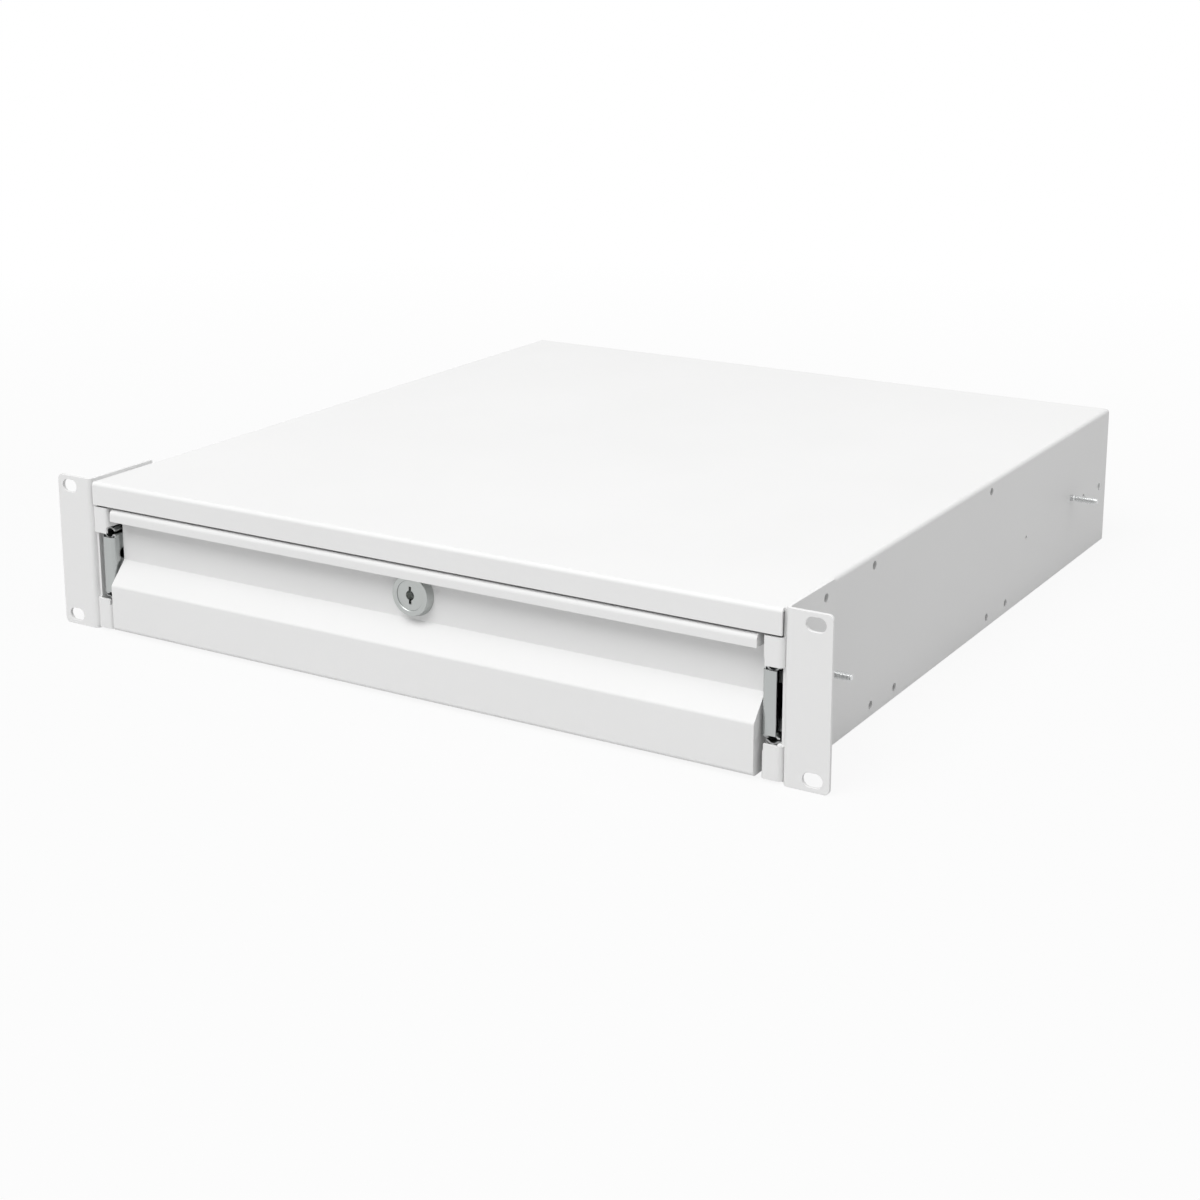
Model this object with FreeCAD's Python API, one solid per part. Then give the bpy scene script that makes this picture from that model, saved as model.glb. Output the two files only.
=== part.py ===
import FreeCAD, Part

import math
import os

# Lockable 2U drawer unit for 19-inch racks, in millimetres.
# X runs across the rack, +Y runs back into it and +Z is up.
# The origin is the centre of the four rack slots, on the ears' front face.

# Rack interface
RACK_WIDTH = 482.6
EAR_HEIGHT = 88.1
SLOT_SPACING_X = 465.1
SLOT_SPACING_Z = 76.2
SLOT_LENGTH = 10.5
SLOT_WIDTH = 7.2
EAR_SHEET = 2.0
EAR_BEND = 1.5
EAR_LEG_DEPTH = 50.6
EAR_CORNER = 3.0

# Housing
HOUSING_WIDTH = 433.0
HOUSING_HEIGHT = 86.2
HOUSING_DEPTH = 466.4
EAR_RISE = 1.25
SHEET = 1.5
TOP_FOLD = 0.8
TAB_FOLD = 1.5
COVER_FLANGE = 13.2
COVER_END_GAP = 1.2
COVER_TAB_GAP = 1.2
TAB_WIDTH = 11.1
TAB_RETURN = 15.0
TAB_FOOT_GAP = 0.8
RELIEF_WIDTH = 1.2
RELIEF_CHAMFER = 1.4
RELIEF_CLEARANCE = 0.8
WINDOW_ABOVE_SLIDE = 19.3
WINDOW_BELOW_SLIDE = 19.6

# Fixing holes and weld studs of the side walls
FIXING_RADIUS = 2.25
TOP_HOLE_DROP = 6.1
BOTTOM_HOLE_RISE = 5.9
FIRST_HOLE_Y = 101.3
HOLE_PITCH_Y = 160.0
PAIR_PITCH_Y = 29.8
STUD_RADIUS = 2.0
STUD_LENGTH = 16.9
STUD_BASE_RADIUS = 2.6
FRONT_STUD_Y = 40.2
REAR_STUD_Y = 399.7
EAR_HOLE_Y = 41.0
EAR_HOLE_Z = 37.0
SLIDE_HOLE_YS = (423.7, 453.8)
LOCATING_HOLE_Y = 321.7
LOCATING_HOLE_RADIUS = 1.25
HOLE_PLAY = 0.2

# Stiffeners of the housing
STIFFENER_SHEET = 1.2
STIFFENER_DEPTH = 8.0
STIFFENER_TOP = 22.0
STIFFENER_RIM = 12.0
STIFFENER_SLOPE = 2.0
STIFFENER_FOLD = 1.0
BRACE_MARGIN = 8.0
BRACE_RIM = 6.0
BRACE_TAB_RISE = 8.2
END_TAB_WIDTH = 18.0
TAB_CLEARANCE = 0.2
REAR_FLANGE = 10.0

# Ball-bearing slides
SLIDE_AXIS_Z = -5.6
SLIDE_THICKNESS = 10.8
SLIDE_SHEET = 0.9
SLIDE_FRONT_Y = 6.0
SLIDE_REAR_GAP = 7.4
INNER_HALF_HEIGHT = 18.0
INNER_LIP_GAP = 1.9
INNER_CURL = 0.3
INNER_SETBACK = 4.9
ROLL_FOLD = 0.5
RACE_SETIN = 4.6
RACE_EASE = 0.12
RACE_SLOPE = 50.0
OUTER_RACE_SLOPE = 40.0
OUTER_RACE_DEPTH = 1.5
OUTER_LIP_GAP = 1.2
BALL_RADIUS = 2.38
BALL_PLAY = 0.03
BALLS_PER_ROW = 2
BALL_PITCH = 84.0
BALL_FLATS = 12
CAGE_SHEET = 0.4
CAGE_PLAY = 0.3
CAGE_REACH = 9.2
CAGE_END = 8.0
DRAWER_TRAVEL = 340.0
TAB_REACH = 7.5
TAB_HALF_HEIGHT = 16.2
TAB_BEND = 1.1
STOP_LUG_SETBACK = 2.0
STOP_LUG_WIDTH = 6.0
STOP_LUG_V = 9.0
STOP_LUG_REACH = 4.5
STOP_LUG_OVERLAP = 1.5
STOP_LUG_PLAY = 0.5
BUFFER_LENGTH = 5.5
BUFFER_HALF_HEIGHT = 9.0
BUFFER_GAP = 1.0
BUFFER_BACK_GAP = 0.6
BUFFER_ROUND = 1.5
WEB_HOLE_Y = 10.6
WEB_HOLE_Z = 0.5
WEB_HOLE_RADIUS = 3.1

# Drawer front
FRONT_SIDE_GAP = 1.5
PANEL_Y = 9.3
GRIP_Y = -0.4
GRIP_TOP_GAP = 1.3
GRIP_LIP = 6.8
GRIP_FOLD = 1.5
LIP_Y = -2.0
LIP_BOTTOM_RISE = 1.2
LIP_HEIGHT = 26.6
SLOPE_RISE = 12.7
FRONT_FOLD = 0.8
BOTTOM_RETURN = 24.0

# Drawer tray
TRAY_BOTTOM_GAP = 8.8
TRAY_SIDE_HEIGHT = 56.6
TRAY_BACK_GAP = 13.4
TRAY_FOLD = 1.0
HEM_HEIGHT = 6.0
HEM_FOLD = 0.5
TRAY_FRONT_RISE = 2.8
TRAY_FLAP = 20.0

# Cam lock
LOCK_Z = 11.2
RING_FRONT_RADIUS = 11.0
RING_BASE_RADIUS = 12.1
RING_HEIGHT = 4.9
RING_BEVEL = 0.4
BARREL_RADIUS = 9.4
BARREL_FLATS = 8.8
BARREL_DEPTH = 17.7
PLUG_RADIUS = 8.0
PLUG_PLAY = 0.05
PLUG_RECESS = 0.6
KEYHOLE_RADIUS = 2.6
KEYHOLE_SLOT = 1.6
KEYHOLE_HEIGHT = 9.5
KEYHOLE_DEPTH = 4.0
CAM_GAP = 0.8
CAM_SHEET = 2.0
CAM_LENGTH = 26.0
CAM_HUB_RADIUS = 8.0
CAM_TIP_RADIUS = 6.0
CAM_SQUARE = 7.0
CAM_SQUARE_PLAY = 0.1
CAM_SCREW_RADIUS = 2.4
CAM_SCREW_DEPTH = 8.0
CAM_SCREW_GAP = 1.0
CAM_HEAD_RADIUS = 4.6
CAM_HEAD_HEIGHT = 2.4
CAM_HEAD_SLOT = 1.0
CAM_HEAD_SLOT_DEPTH = 1.2
LOCK_NUT_FLATS = 22.0
LOCK_NUT_HEIGHT = 4.0
STRIKE_GAP = 1.5
STRIKE_WIDTH = 34.0
STRIKE_CLEARANCE = 1.6
STRIKE_BASE = 18.0

# Derived places
HALF_WIDTH = HOUSING_WIDTH / 2
WALL_INNER = HALF_WIDTH - SHEET
TOP_Z = EAR_HEIGHT / 2 - EAR_RISE
BOTTOM_Z = TOP_Z - HOUSING_HEIGHT
CEILING_Z = TOP_Z - SHEET
TAB_BEND_DEPTH = TAB_FOLD + SHEET
FLANGE_BOTTOM_Z = TOP_Z - COVER_FLANGE
TAB_INNER = HALF_WIDTH - TAB_WIDTH
TOP_HOLE_Z = TOP_Z - TOP_HOLE_DROP
BOTTOM_HOLE_Z = BOTTOM_Z + BOTTOM_HOLE_RISE
STIFFENER_YS = (FIRST_HOLE_Y, FIRST_HOLE_Y + HOLE_PITCH_Y)
SLIDE_FACE = WALL_INNER - SLIDE_THICKNESS
OUTER_END_Y = HOUSING_DEPTH - SLIDE_REAR_GAP
BUFFER_START_Y = OUTER_END_Y - BUFFER_BACK_GAP - BUFFER_LENGTH
INNER_END_Y = BUFFER_START_Y - BUFFER_GAP
FRONT_HALF = SLIDE_FACE - FRONT_SIDE_GAP
TRAY_HALF = SLIDE_FACE
TRAY_BOTTOM_Z = BOTTOM_Z + TRAY_BOTTOM_GAP
TRAY_TOP_Z = TRAY_BOTTOM_Z + TRAY_SIDE_HEIGHT
TRAY_FRONT_Y = PANEL_Y + SHEET
TRAY_BACK_Y = HOUSING_DEPTH - SHEET - TRAY_BACK_GAP
GRIP_TOP_Z = FLANGE_BOTTOM_Z - GRIP_TOP_GAP
LIP_BOTTOM_Z = BOTTOM_Z + LIP_BOTTOM_RISE
LIP_TOP_Z = LIP_BOTTOM_Z + LIP_HEIGHT
RING_FRONT_Y = PANEL_Y - RING_HEIGHT
BARREL_END_Y = PANEL_Y + BARREL_DEPTH
CAM_FRONT_Y = BARREL_END_Y + CAM_GAP
CAM_BACK_Y = CAM_FRONT_Y + CAM_SHEET
STRIKE_BACK_Y = CAM_FRONT_Y - STRIKE_GAP

# Ball race geometry, measured from the wall face (u) and the slide axis (v)
RACE_CENTRE = SLIDE_THICKNESS - RACE_SETIN
RACE_RADIUS = BALL_RADIUS + RACE_EASE
CURL_RADIUS = INNER_CURL + SLIDE_SHEET
CURL_APEX = INNER_HALF_HEIGHT - CURL_RADIUS + CURL_RADIUS * math.tan(math.radians((90 + RACE_SLOPE) / 2))
RACE_APEX = CURL_APEX - (SLIDE_THICKNESS - RACE_CENTRE) * math.tan(math.radians(RACE_SLOPE))
RACE_FLOOR = RACE_APEX + RACE_RADIUS * (1 / math.cos(math.radians(RACE_SLOPE)) - 1)
LIP_START = RACE_CENTRE - (INNER_HALF_HEIGHT - RACE_APEX) / math.tan(math.radians(RACE_SLOPE))
BALL_V = RACE_FLOOR + BALL_RADIUS + BALL_PLAY
OUTER_RACE_ROOF = BALL_V + BALL_RADIUS + BALL_PLAY
OUTER_LEVEL = OUTER_RACE_ROOF - OUTER_RACE_DEPTH
OUTER_APEX = OUTER_RACE_ROOF + RACE_RADIUS * (1 / math.cos(math.radians(OUTER_RACE_SLOPE)) - 1)
OUTER_RACE_HALF = (OUTER_APEX - OUTER_LEVEL) / math.tan(math.radians(OUTER_RACE_SLOPE))
SLIDE_HALF_HEIGHT = OUTER_RACE_ROOF + SLIDE_SHEET
CAGE_LENGTH = (BALLS_PER_ROW - 1) * BALL_PITCH + 2 * CAGE_END
OUTER_LUG_Y = SLIDE_FRONT_Y + STOP_LUG_SETBACK
LUG_MEETING_Y = OUTER_LUG_Y + SLIDE_SHEET + STOP_LUG_PLAY
CAGE_START_Y = LUG_MEETING_Y + DRAWER_TRAVEL / 2
WINDOW_TOP_Z = SLIDE_AXIS_Z + WINDOW_ABOVE_SLIDE
WINDOW_BOTTOM_Z = SLIDE_AXIS_Z - WINDOW_BELOW_SLIDE

ACROSS = FreeCAD.Vector(1, 0, 0)
BACK = FreeCAD.Vector(0, 1, 0)
UP = FreeCAD.Vector(0, 0, 1)


def point_in(plane, a, b, depth):
    """A 3-D point from two coordinates in a named plane and the depth along its normal."""
    if plane == "XZ":
        return FreeCAD.Vector(a, depth, b)
    if plane == "YZ":
        return FreeCAD.Vector(depth, a, b)
    return FreeCAD.Vector(a, b, depth)


def normal_of(plane):
    return {"XZ": BACK, "YZ": ACROSS, "XY": UP}[plane]


def unit(start, end):
    length = math.hypot(end[0] - start[0], end[1] - start[1])
    return ((end[0] - start[0]) / length, (end[1] - start[1]) / length)


def turn_between(first, second):
    """Signed turn in radians from one direction to the next, positive to the left."""
    cross = first[0] * second[1] - first[1] * second[0]
    dot = first[0] * second[0] + first[1] * second[1]
    return math.atan2(cross, dot)


def shifted_right(path, distance):
    """The polyline moved sideways to its right, each corner where the moved sides meet."""
    moved = []
    for index, (a, b) in enumerate(path):
        sides = []
        if index > 0:
            sides.append(unit(path[index - 1], path[index]))
        if index < len(path) - 1:
            sides.append(unit(path[index], path[index + 1]))
        normals = [(side[1], -side[0]) for side in sides]
        first, last = normals[0], normals[-1]
        scale = distance / (1 + first[0] * last[0] + first[1] * last[1])
        if len(normals) == 1:
            moved.append((a + first[0] * distance, b + first[1] * distance))
        else:
            moved.append((a + (first[0] + last[0]) * scale, b + (first[1] + last[1]) * scale))
    return moved


def rounded_edges(path, radii, plane, depth):
    """Lines and tangent arcs along a polyline, one radius for each inner corner."""
    edges = []
    start = path[0]
    for index in range(1, len(path) - 1):
        before = unit(path[index - 1], path[index])
        after = unit(path[index], path[index + 1])
        turn = turn_between(before, after)
        radius = radii[index - 1]
        reach = radius * math.tan(abs(turn) / 2)
        corner = path[index]
        arc_start = (corner[0] - before[0] * reach, corner[1] - before[1] * reach)
        arc_end = (corner[0] + after[0] * reach, corner[1] + after[1] * reach)
        inward = math.copysign(1, turn)
        centre = (arc_start[0] - before[1] * radius * inward, arc_start[1] + before[0] * radius * inward)
        toward = unit(centre, corner)
        middle = (centre[0] + toward[0] * radius, centre[1] + toward[1] * radius)
        edges += line_between(start, arc_start, plane, depth)
        ends = [point_in(plane, a, b, depth) for a, b in (arc_start, middle, arc_end)]
        edges.append(Part.Arc(*ends).toShape())
        start = arc_end
    return edges + line_between(start, path[-1], plane, depth)


def line_between(start, end, plane, depth):
    """One line as a list, or an empty list where the two points meet."""
    if math.hypot(end[0] - start[0], end[1] - start[1]) < 1e-6:
        return []
    return [Part.makeLine(point_in(plane, *start, depth), point_in(plane, *end, depth))]


def folded(path, thickness, bends, plane, start, end):
    """A folded sheet: its face runs along the path, its thickness lies to the right of it.

    bends holds the inside radius of each fold, and the sheet runs from start to end
    along the plane's normal.
    """
    near_radii = []
    far_radii = []
    for index in range(1, len(path) - 1):
        before = unit(path[index - 1], path[index])
        after = unit(path[index], path[index + 1])
        inside = bends[index - 1]
        outside = inside + thickness
        turns_left = turn_between(before, after) > 0
        near_radii.append(inside if turns_left else outside)
        far_radii.append(outside if turns_left else inside)
    far_path = shifted_right(path, thickness)
    edges = rounded_edges(path, near_radii, plane, start)
    edges += line_between(path[-1], far_path[-1], plane, start)
    edges += rounded_edges(far_path, far_radii, plane, start)
    edges += line_between(far_path[0], path[0], plane, start)
    wire = Part.Wire(Part.__sortEdges__(edges))
    return Part.Face(wire).extrude(normal_of(plane) * (end - start))


def plate(outline, plane, start, end):
    """A flat plate with a straight-sided outline, between two depths along the plane's normal."""
    corners = [point_in(plane, a, b, start) for a, b in outline]
    wire = Part.makePolygon(corners + corners[:1])
    return Part.Face(wire).extrude(normal_of(plane) * (end - start))


def block(x_range, y_range, z_range):
    size = [high - low for low, high in (x_range, y_range, z_range)]
    corner = FreeCAD.Vector(x_range[0], y_range[0], z_range[0])
    return Part.makeBox(*size, corner)


def rod(radius, start, direction, length):
    return Part.makeCylinder(radius, length, FreeCAD.Vector(*start), direction)


def joined(shapes):
    """One solid from pieces of the same sheet or casting."""
    return shapes[0].fuse(shapes[1:]).removeSplitter() if len(shapes) > 1 else shapes[0]


def mirrored(shape):
    return shape.mirror(FreeCAD.Vector(0, 0, 0), ACROSS)


def both_sides(shapes):
    return shapes + [mirrored(shape) for shape in shapes]


def hexagon(flats, centre, axis_plane, start, end):
    """A hexagonal prism, point up, across the given flats."""
    radius = flats / math.sqrt(3)
    corners = []
    for index in range(6):
        angle = math.radians(60 * index + 30)
        corners.append((centre[0] + radius * math.cos(angle), centre[1] + radius * math.sin(angle)))
    return plate(corners, axis_plane, start, end)


def fixing_points():
    """Places (y, z) of the open fixing holes in each side wall."""
    points = []
    for y in STIFFENER_YS:
        points.append((y, TOP_HOLE_Z))
        points.append((y, BOTTOM_HOLE_Z))
        points.append((y + PAIR_PITCH_Y, BOTTOM_HOLE_Z))
    return points


def wall_holes():
    """Rods that pierce the right side wall wherever it is drilled."""
    reach = 3 * SHEET
    start_x = HALF_WIDTH - 2 * SHEET
    holes = [rod(FIXING_RADIUS, (start_x, y, z), ACROSS, reach) for y, z in fixing_points()]
    for y in SLIDE_HOLE_YS:
        holes.append(rod(FIXING_RADIUS, (start_x, y, SLIDE_AXIS_Z), ACROSS, reach))
    locating_start = (start_x, LOCATING_HOLE_Y, SLIDE_AXIS_Z)
    holes.append(rod(LOCATING_HOLE_RADIUS, locating_start, ACROSS, reach))
    holes.append(rod(FIXING_RADIUS, (start_x, EAR_HOLE_Y, EAR_HOLE_Z), ACROSS, reach))
    return holes


def front_tab(low_z, high_z, relief_z, relief_sign):
    """A tab folded in from the side wall's front edge, with a return folded back.

    The return is cut away from relief_z towards the slide, with a bevelled step.
    """
    path = [
        (HALF_WIDTH, TAB_BEND_DEPTH + SHEET),
        (HALF_WIDTH, 0.0),
        (TAB_INNER, 0.0),
        (TAB_INNER, TAB_RETURN),
    ]
    tab = folded(path, SHEET, (TAB_FOLD, TOP_FOLD), "XY", low_z, high_z)
    window_end = low_z - 1 if relief_sign > 0 else high_z + 1
    edge_x = TAB_INNER + RELIEF_WIDTH
    relief = plate(
        [
            (TAB_INNER - 1, window_end),
            (edge_x + SHEET, window_end),
            (edge_x + SHEET, relief_z),
            (edge_x, relief_z),
            (TAB_INNER - 1, relief_z + relief_sign * (RELIEF_CHAMFER + 1)),
        ],
        "XZ",
        SHEET,
        TAB_RETURN + 1,
    )
    step = plate(
        [
            (TAB_INNER - 1, window_end),
            (edge_x, window_end),
            (edge_x, relief_z),
            (TAB_INNER - 1, relief_z + relief_sign * (RELIEF_CHAMFER + 1)),
        ],
        "XZ",
        -1,
        TAB_RETURN + 1,
    )
    return tab.cut([relief, step])


def housing_shell():
    """Top and both sides of one sheet, with the cover flange and the four front tabs."""
    section = [
        (-HALF_WIDTH, BOTTOM_Z),
        (-HALF_WIDTH, TOP_Z),
        (HALF_WIDTH, TOP_Z),
        (HALF_WIDTH, BOTTOM_Z),
    ]
    shell = folded(section, SHEET, (TOP_FOLD, TOP_FOLD), "XZ", TAB_BEND_DEPTH, HOUSING_DEPTH)
    flange_path = [(0.0, FLANGE_BOTTOM_Z), (0.0, TOP_Z), (TAB_BEND_DEPTH, TOP_Z)]
    flange_half = HALF_WIDTH - COVER_END_GAP
    flange = folded(flange_path, SHEET, (TOP_FOLD,), "YZ", -flange_half, flange_half)
    relief_high = SLIDE_AXIS_Z + SLIDE_HALF_HEIGHT + RELIEF_CLEARANCE
    relief_low = SLIDE_AXIS_Z - SLIDE_HALF_HEIGHT - RELIEF_CLEARANCE
    tabs = [
        front_tab(WINDOW_TOP_Z, FLANGE_BOTTOM_Z - COVER_TAB_GAP, relief_high, 1),
        front_tab(BOTTOM_Z + TAB_FOOT_GAP, WINDOW_BOTTOM_Z, relief_low, -1),
    ]
    return joined([shell, flange] + both_sides(tabs)).cut(both_sides(wall_holes()))


def side_studs():
    """Plain studs welded on the side walls; the front ones' bases fill the ears' leg holes."""
    studs = [rod(STUD_RADIUS, (HALF_WIDTH, y, 0.0), ACROSS, STUD_LENGTH) for y in (FRONT_STUD_Y, REAR_STUD_Y)]
    base = rod(STUD_BASE_RADIUS, (HALF_WIDTH, FRONT_STUD_Y, 0.0), ACROSS, EAR_SHEET)
    return Part.makeCompound(both_sides([joined([studs[0], base]), studs[1]]))


def rack_ear():
    """The right ear: a folded bracket with two rack slots, its leg flat on the side wall."""
    half = EAR_HEIGHT / 2
    path = [(RACK_WIDTH / 2, 0.0), (HALF_WIDTH, 0.0), (HALF_WIDTH, EAR_LEG_DEPTH)]
    ear = folded(path, EAR_SHEET, (EAR_BEND,), "XY", -half, half)
    outer = [edge for edge in ear.Edges if edge.BoundBox.XMin > RACK_WIDTH / 2 - 0.1]
    corners = [edge for edge in outer if abs(edge.BoundBox.YLength - EAR_SHEET) < 0.01]
    corners = [edge for edge in corners if edge.BoundBox.ZLength < 0.01]
    ear = ear.makeFillet(EAR_CORNER, corners)
    cuts = []
    for z in (-SLOT_SPACING_Z / 2, SLOT_SPACING_Z / 2):
        half_straight = (SLOT_LENGTH - SLOT_WIDTH) / 2
        centre_x = SLOT_SPACING_X / 2
        for x in (centre_x - half_straight, centre_x + half_straight):
            cuts.append(rod(SLOT_WIDTH / 2, (x, -1.0, z), BACK, EAR_SHEET + 2))
        x_range = (centre_x - half_straight, centre_x + half_straight)
        z_range = (z - SLOT_WIDTH / 2, z + SLOT_WIDTH / 2)
        cuts.append(block(x_range, (-1.0, EAR_SHEET + 1), z_range))
    leg_x = HALF_WIDTH - 1.0
    reach = EAR_SHEET + 2
    cuts.append(rod(FIXING_RADIUS, (leg_x, EAR_HOLE_Y, EAR_HOLE_Z), ACROSS, reach))
    cuts.append(rod(STUD_BASE_RADIUS + HOLE_PLAY, (leg_x, FRONT_STUD_Y, 0.0), ACROSS, reach))
    return ear.cut(cuts)


def end_tab(y, half_width, z_range):
    """A tab that stands against the right side wall, behind its fixing holes."""
    return block((WALL_INNER - STIFFENER_SHEET, WALL_INNER), (y - half_width, y + half_width), z_range)


def top_stiffener(y):
    """A hat channel under the cover, its end tabs behind the top row of fixing holes."""
    half_top = STIFFENER_TOP / 2
    shoulder = half_top + STIFFENER_SLOPE
    rim = shoulder + STIFFENER_RIM
    floor_z = CEILING_Z - STIFFENER_DEPTH
    path = [
        (y - rim, CEILING_Z),
        (y - shoulder, CEILING_Z),
        (y - half_top, floor_z),
        (y + half_top, floor_z),
        (y + shoulder, CEILING_Z),
        (y + rim, CEILING_Z),
    ]
    bends = (STIFFENER_FOLD,) * 4
    reach = WALL_INNER - STIFFENER_SHEET
    hat = folded(path, STIFFENER_SHEET, bends, "YZ", -reach, reach)
    tab_range = (floor_z - STIFFENER_SHEET, CEILING_Z - TOP_FOLD - TAB_CLEARANCE)
    tab = end_tab(y, END_TAB_WIDTH / 2, tab_range)
    return joined([hat] + both_sides([tab]))


def bottom_brace(first_hole_y):
    """A shallow channel across the open bottom, its end tabs behind a pair of fixing holes."""
    y = first_hole_y + PAIR_PITCH_Y / 2
    half = PAIR_PITCH_Y / 2 + BRACE_MARGIN
    path = [
        (y + half, BOTTOM_Z + BRACE_RIM),
        (y + half, BOTTOM_Z),
        (y - half, BOTTOM_Z),
        (y - half, BOTTOM_Z + BRACE_RIM),
    ]
    bends = (STIFFENER_FOLD,) * 2
    reach = WALL_INNER - STIFFENER_SHEET
    channel = folded(path, STIFFENER_SHEET, bends, "YZ", -reach, reach)
    tab = end_tab(y, half - BRACE_MARGIN / 2, (BOTTOM_Z, BOTTOM_Z + BRACE_TAB_RISE))
    return joined([channel] + both_sides([tab]))


def rear_panel():
    """The back plate, flanged under the cover and along the bottom, with welding tabs."""
    inner_y = HOUSING_DEPTH - SHEET
    front_y = HOUSING_DEPTH - REAR_FLANGE
    path = [
        (front_y, CEILING_Z),
        (HOUSING_DEPTH, CEILING_Z),
        (HOUSING_DEPTH, BOTTOM_Z),
        (front_y, BOTTOM_Z),
    ]
    half = WALL_INNER - SHEET
    back = folded(path, SHEET, (TOP_FOLD, TOP_FOLD), "YZ", -half, half)
    strip_z = (BOTTOM_Z + TOP_FOLD + SHEET, CEILING_Z - TOP_FOLD - SHEET)
    strip = block((half - SHEET, WALL_INNER), (inner_y, HOUSING_DEPTH), strip_z)
    return joined([back] + both_sides([strip]))


def lock_strike():
    """The angle under the cover that the lock's cam swings up behind."""
    path = [
        (STRIKE_BACK_Y - STRIKE_BASE, CEILING_Z),
        (STRIKE_BACK_Y, CEILING_Z),
        (STRIKE_BACK_Y, GRIP_TOP_Z + STRIKE_CLEARANCE),
    ]
    half = STRIKE_WIDTH / 2
    return folded(path, SHEET, (TOP_FOLD,), "YZ", -half, half)


def slide_x(u):
    """World X on the right slide for a distance u from the wall."""
    return WALL_INNER - u


def slide_path(points):
    """A whole slide section from its upper half: mirrored about the slide axis, bottom first."""
    lower = [(slide_x(u), SLIDE_AXIS_Z - v) for u, v in points]
    upper = [(slide_x(u), SLIDE_AXIS_Z + v) for u, v in reversed(points)]
    return lower + upper


def stop_lug(y, from_u, to_u):
    """Two small lugs lanced out of a slide's web, above and below its axis."""
    lugs = []
    for sign in (-1, 1):
        z_near = SLIDE_AXIS_Z + sign * STOP_LUG_V
        z_far = z_near + sign * STOP_LUG_WIDTH
        x_range = (slide_x(to_u), slide_x(from_u))
        lugs.append(block(x_range, (y, y + SLIDE_SHEET), (min(z_near, z_far), max(z_near, z_far))))
    return lugs


def slide_outer():
    """The right slide's outer member: a rolled channel with a ball race in each flange."""
    section = slide_path(
        [
            (SLIDE_THICKNESS - OUTER_LIP_GAP, OUTER_LEVEL),
            (RACE_CENTRE + OUTER_RACE_HALF, OUTER_LEVEL),
            (RACE_CENTRE, OUTER_APEX),
            (RACE_CENTRE - OUTER_RACE_HALF, OUTER_LEVEL),
            (SLIDE_SHEET, OUTER_LEVEL),
        ]
    )
    half_bends = (ROLL_FOLD, RACE_RADIUS, ROLL_FOLD, ROLL_FOLD)
    bends = half_bends + tuple(reversed(half_bends))
    channel = folded(section, SLIDE_SHEET, bends, "XZ", SLIDE_FRONT_Y, OUTER_END_Y)
    lugs = stop_lug(OUTER_LUG_Y, SLIDE_SHEET / 2, STOP_LUG_REACH)
    return joined([channel] + lugs)


def slide_inner():
    """The right slide's inner member: web, curled edges with outward races, bent front tab."""
    section = slide_path(
        [
            (INNER_LIP_GAP, INNER_HALF_HEIGHT),
            (LIP_START, INNER_HALF_HEIGHT),
            (RACE_CENTRE, RACE_APEX),
            (SLIDE_THICKNESS, CURL_APEX),
        ]
    )
    half_bends = (ROLL_FOLD, RACE_RADIUS, INNER_CURL)
    bends = half_bends + tuple(reversed(half_bends))
    member = folded(section, SLIDE_SHEET, bends, "XZ", INNER_SETBACK, INNER_END_Y)
    tab_y = INNER_SETBACK - TAB_BEND - SLIDE_SHEET
    tab_path = [
        (SLIDE_FACE + TAB_REACH, tab_y),
        (SLIDE_FACE, tab_y),
        (SLIDE_FACE, INNER_SETBACK + SLIDE_SHEET),
    ]
    low_z = SLIDE_AXIS_Z - TAB_HALF_HEIGHT
    high_z = SLIDE_AXIS_Z + TAB_HALF_HEIGHT
    tab = folded(tab_path, SLIDE_SHEET, (TAB_BEND,), "XY", low_z, high_z)
    lug_u = (STOP_LUG_REACH - STOP_LUG_OVERLAP, SLIDE_THICKNESS - SLIDE_SHEET / 2)
    lugs = stop_lug(LUG_MEETING_Y + DRAWER_TRAVEL, *lug_u)
    web_x = SLIDE_FACE - 1
    hole = rod(WEB_HOLE_RADIUS, (web_x, WEB_HOLE_Y, WEB_HOLE_Z), ACROSS, SLIDE_SHEET + 2)
    return joined([member, tab] + lugs).cut(hole)


def ball_places():
    """Centres (x, y, z) of the right slide's balls, an upper and a lower row."""
    places = []
    for sign in (1, -1):
        for index in range(BALLS_PER_ROW):
            y = CAGE_START_Y + CAGE_END + index * BALL_PITCH
            places.append((slide_x(RACE_CENTRE), y, SLIDE_AXIS_Z + sign * BALL_V))
    return places


def ball_cage():
    """The right slide's ball cage: a thin channel whose flanges carry the balls in holes."""
    level = BALL_V - CAGE_SHEET / 2
    web_u = SLIDE_SHEET + CAGE_PLAY + CAGE_SHEET
    path = slide_path([(CAGE_REACH, level), (web_u, level)])
    cage_end = CAGE_START_Y + CAGE_LENGTH
    cage = folded(path, CAGE_SHEET, (CAGE_SHEET, CAGE_SHEET), "XZ", CAGE_START_Y, cage_end)
    windows = []
    for x, y, z in ball_places():
        ring = ball_ring((x, y, z - 1), BALL_RADIUS + CAGE_PLAY / 3)
        windows.append(Part.Face(Part.makePolygon(ring)).extrude(UP * 2))
    return cage.cut(windows)


def ball_ring(centre, radius):
    """Corners of a level ring of flats round a ball's upright axis, the first one repeated."""
    corners = []
    for index in range(BALL_FLATS + 1):
        angle = 2 * math.pi * index / BALL_FLATS
        offset = FreeCAD.Vector(radius * math.cos(angle), radius * math.sin(angle), 0)
        corners.append(FreeCAD.Vector(*centre) + offset)
    return corners


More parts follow.
